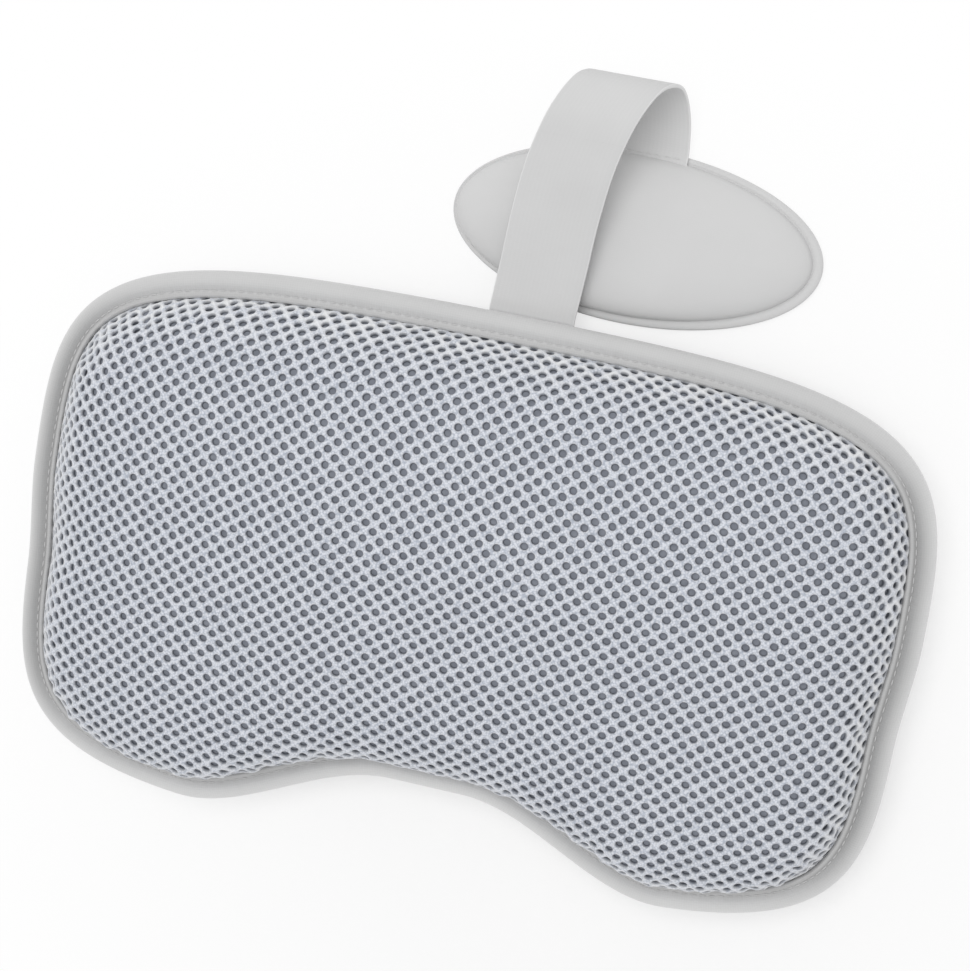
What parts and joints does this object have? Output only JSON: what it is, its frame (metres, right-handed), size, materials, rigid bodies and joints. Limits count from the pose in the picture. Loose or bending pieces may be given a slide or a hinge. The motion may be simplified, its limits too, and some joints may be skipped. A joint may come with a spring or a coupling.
{
  "type": "bath pillow",
  "caption": "Kidney-shaped bath pillow with a crowned mesh front, bound edge and a looped strap with an oval counterweight that holds it over a bath rim.",
  "frame": {"origin": "middle of the pillow's flat back, on the surface it lies on", "axes": "+X along the pillow's length to its right as seen from the front, +Y towards the strap edge, +Z out of the mesh front"},
  "size_m": [0.33, 0.2894, 0.0468],
  "materials": {
    "spacer_mesh": "white knitted mesh with round holes",
    "liner": "grey knit",
    "fibre": "loose white fibre",
    "tape": "matt grey woven tape",
    "strap": "smooth light grey coated cloth",
    "ballast": "plain plate"
  },
  "bodies": {
    "pillow": {"mesh_cover": "spacer_mesh", "liner_cloth": "liner", "fibre_filling": "fibre", "back_panel": "tape", "edge_binding": "tape", "binding_thread": "tape", "strap_tail": "strap"},
    "strap_front": {"strap_front_leg": "strap"},
    "strap_rear": {"strap_rear_leg": "strap"},
    "counterweight": {"strap_end_tab": "strap", "tab_thread": "strap", "weight_top_panel": "strap", "weight_bottom_panel": "strap", "weight_pad": "fibre", "ballast_plate": "ballast"}
  },
  "joints": [
    {"name": "strap_fold", "type": "hinge", "parent": "pillow", "child": "strap_front", "pos_m": [0.0085, 0.1025, 0.00955], "axis": [1, 0, 0], "range_deg": [-75, 70]},
    {"name": "strap_crest", "type": "hinge", "parent": "strap_front", "child": "strap_rear", "pos_m": [0.03128, 0.18976, 0.02032], "axis": [1, 0, 0], "range_deg": [-1.5, 80]},
    {"name": "weight_fold", "type": "hinge", "parent": "strap_rear", "child": "counterweight", "pos_m": [0.037, 0.1668, 0.0033], "axis": [1, 0, 0], "range_deg": [-2, 75]}
  ]
}
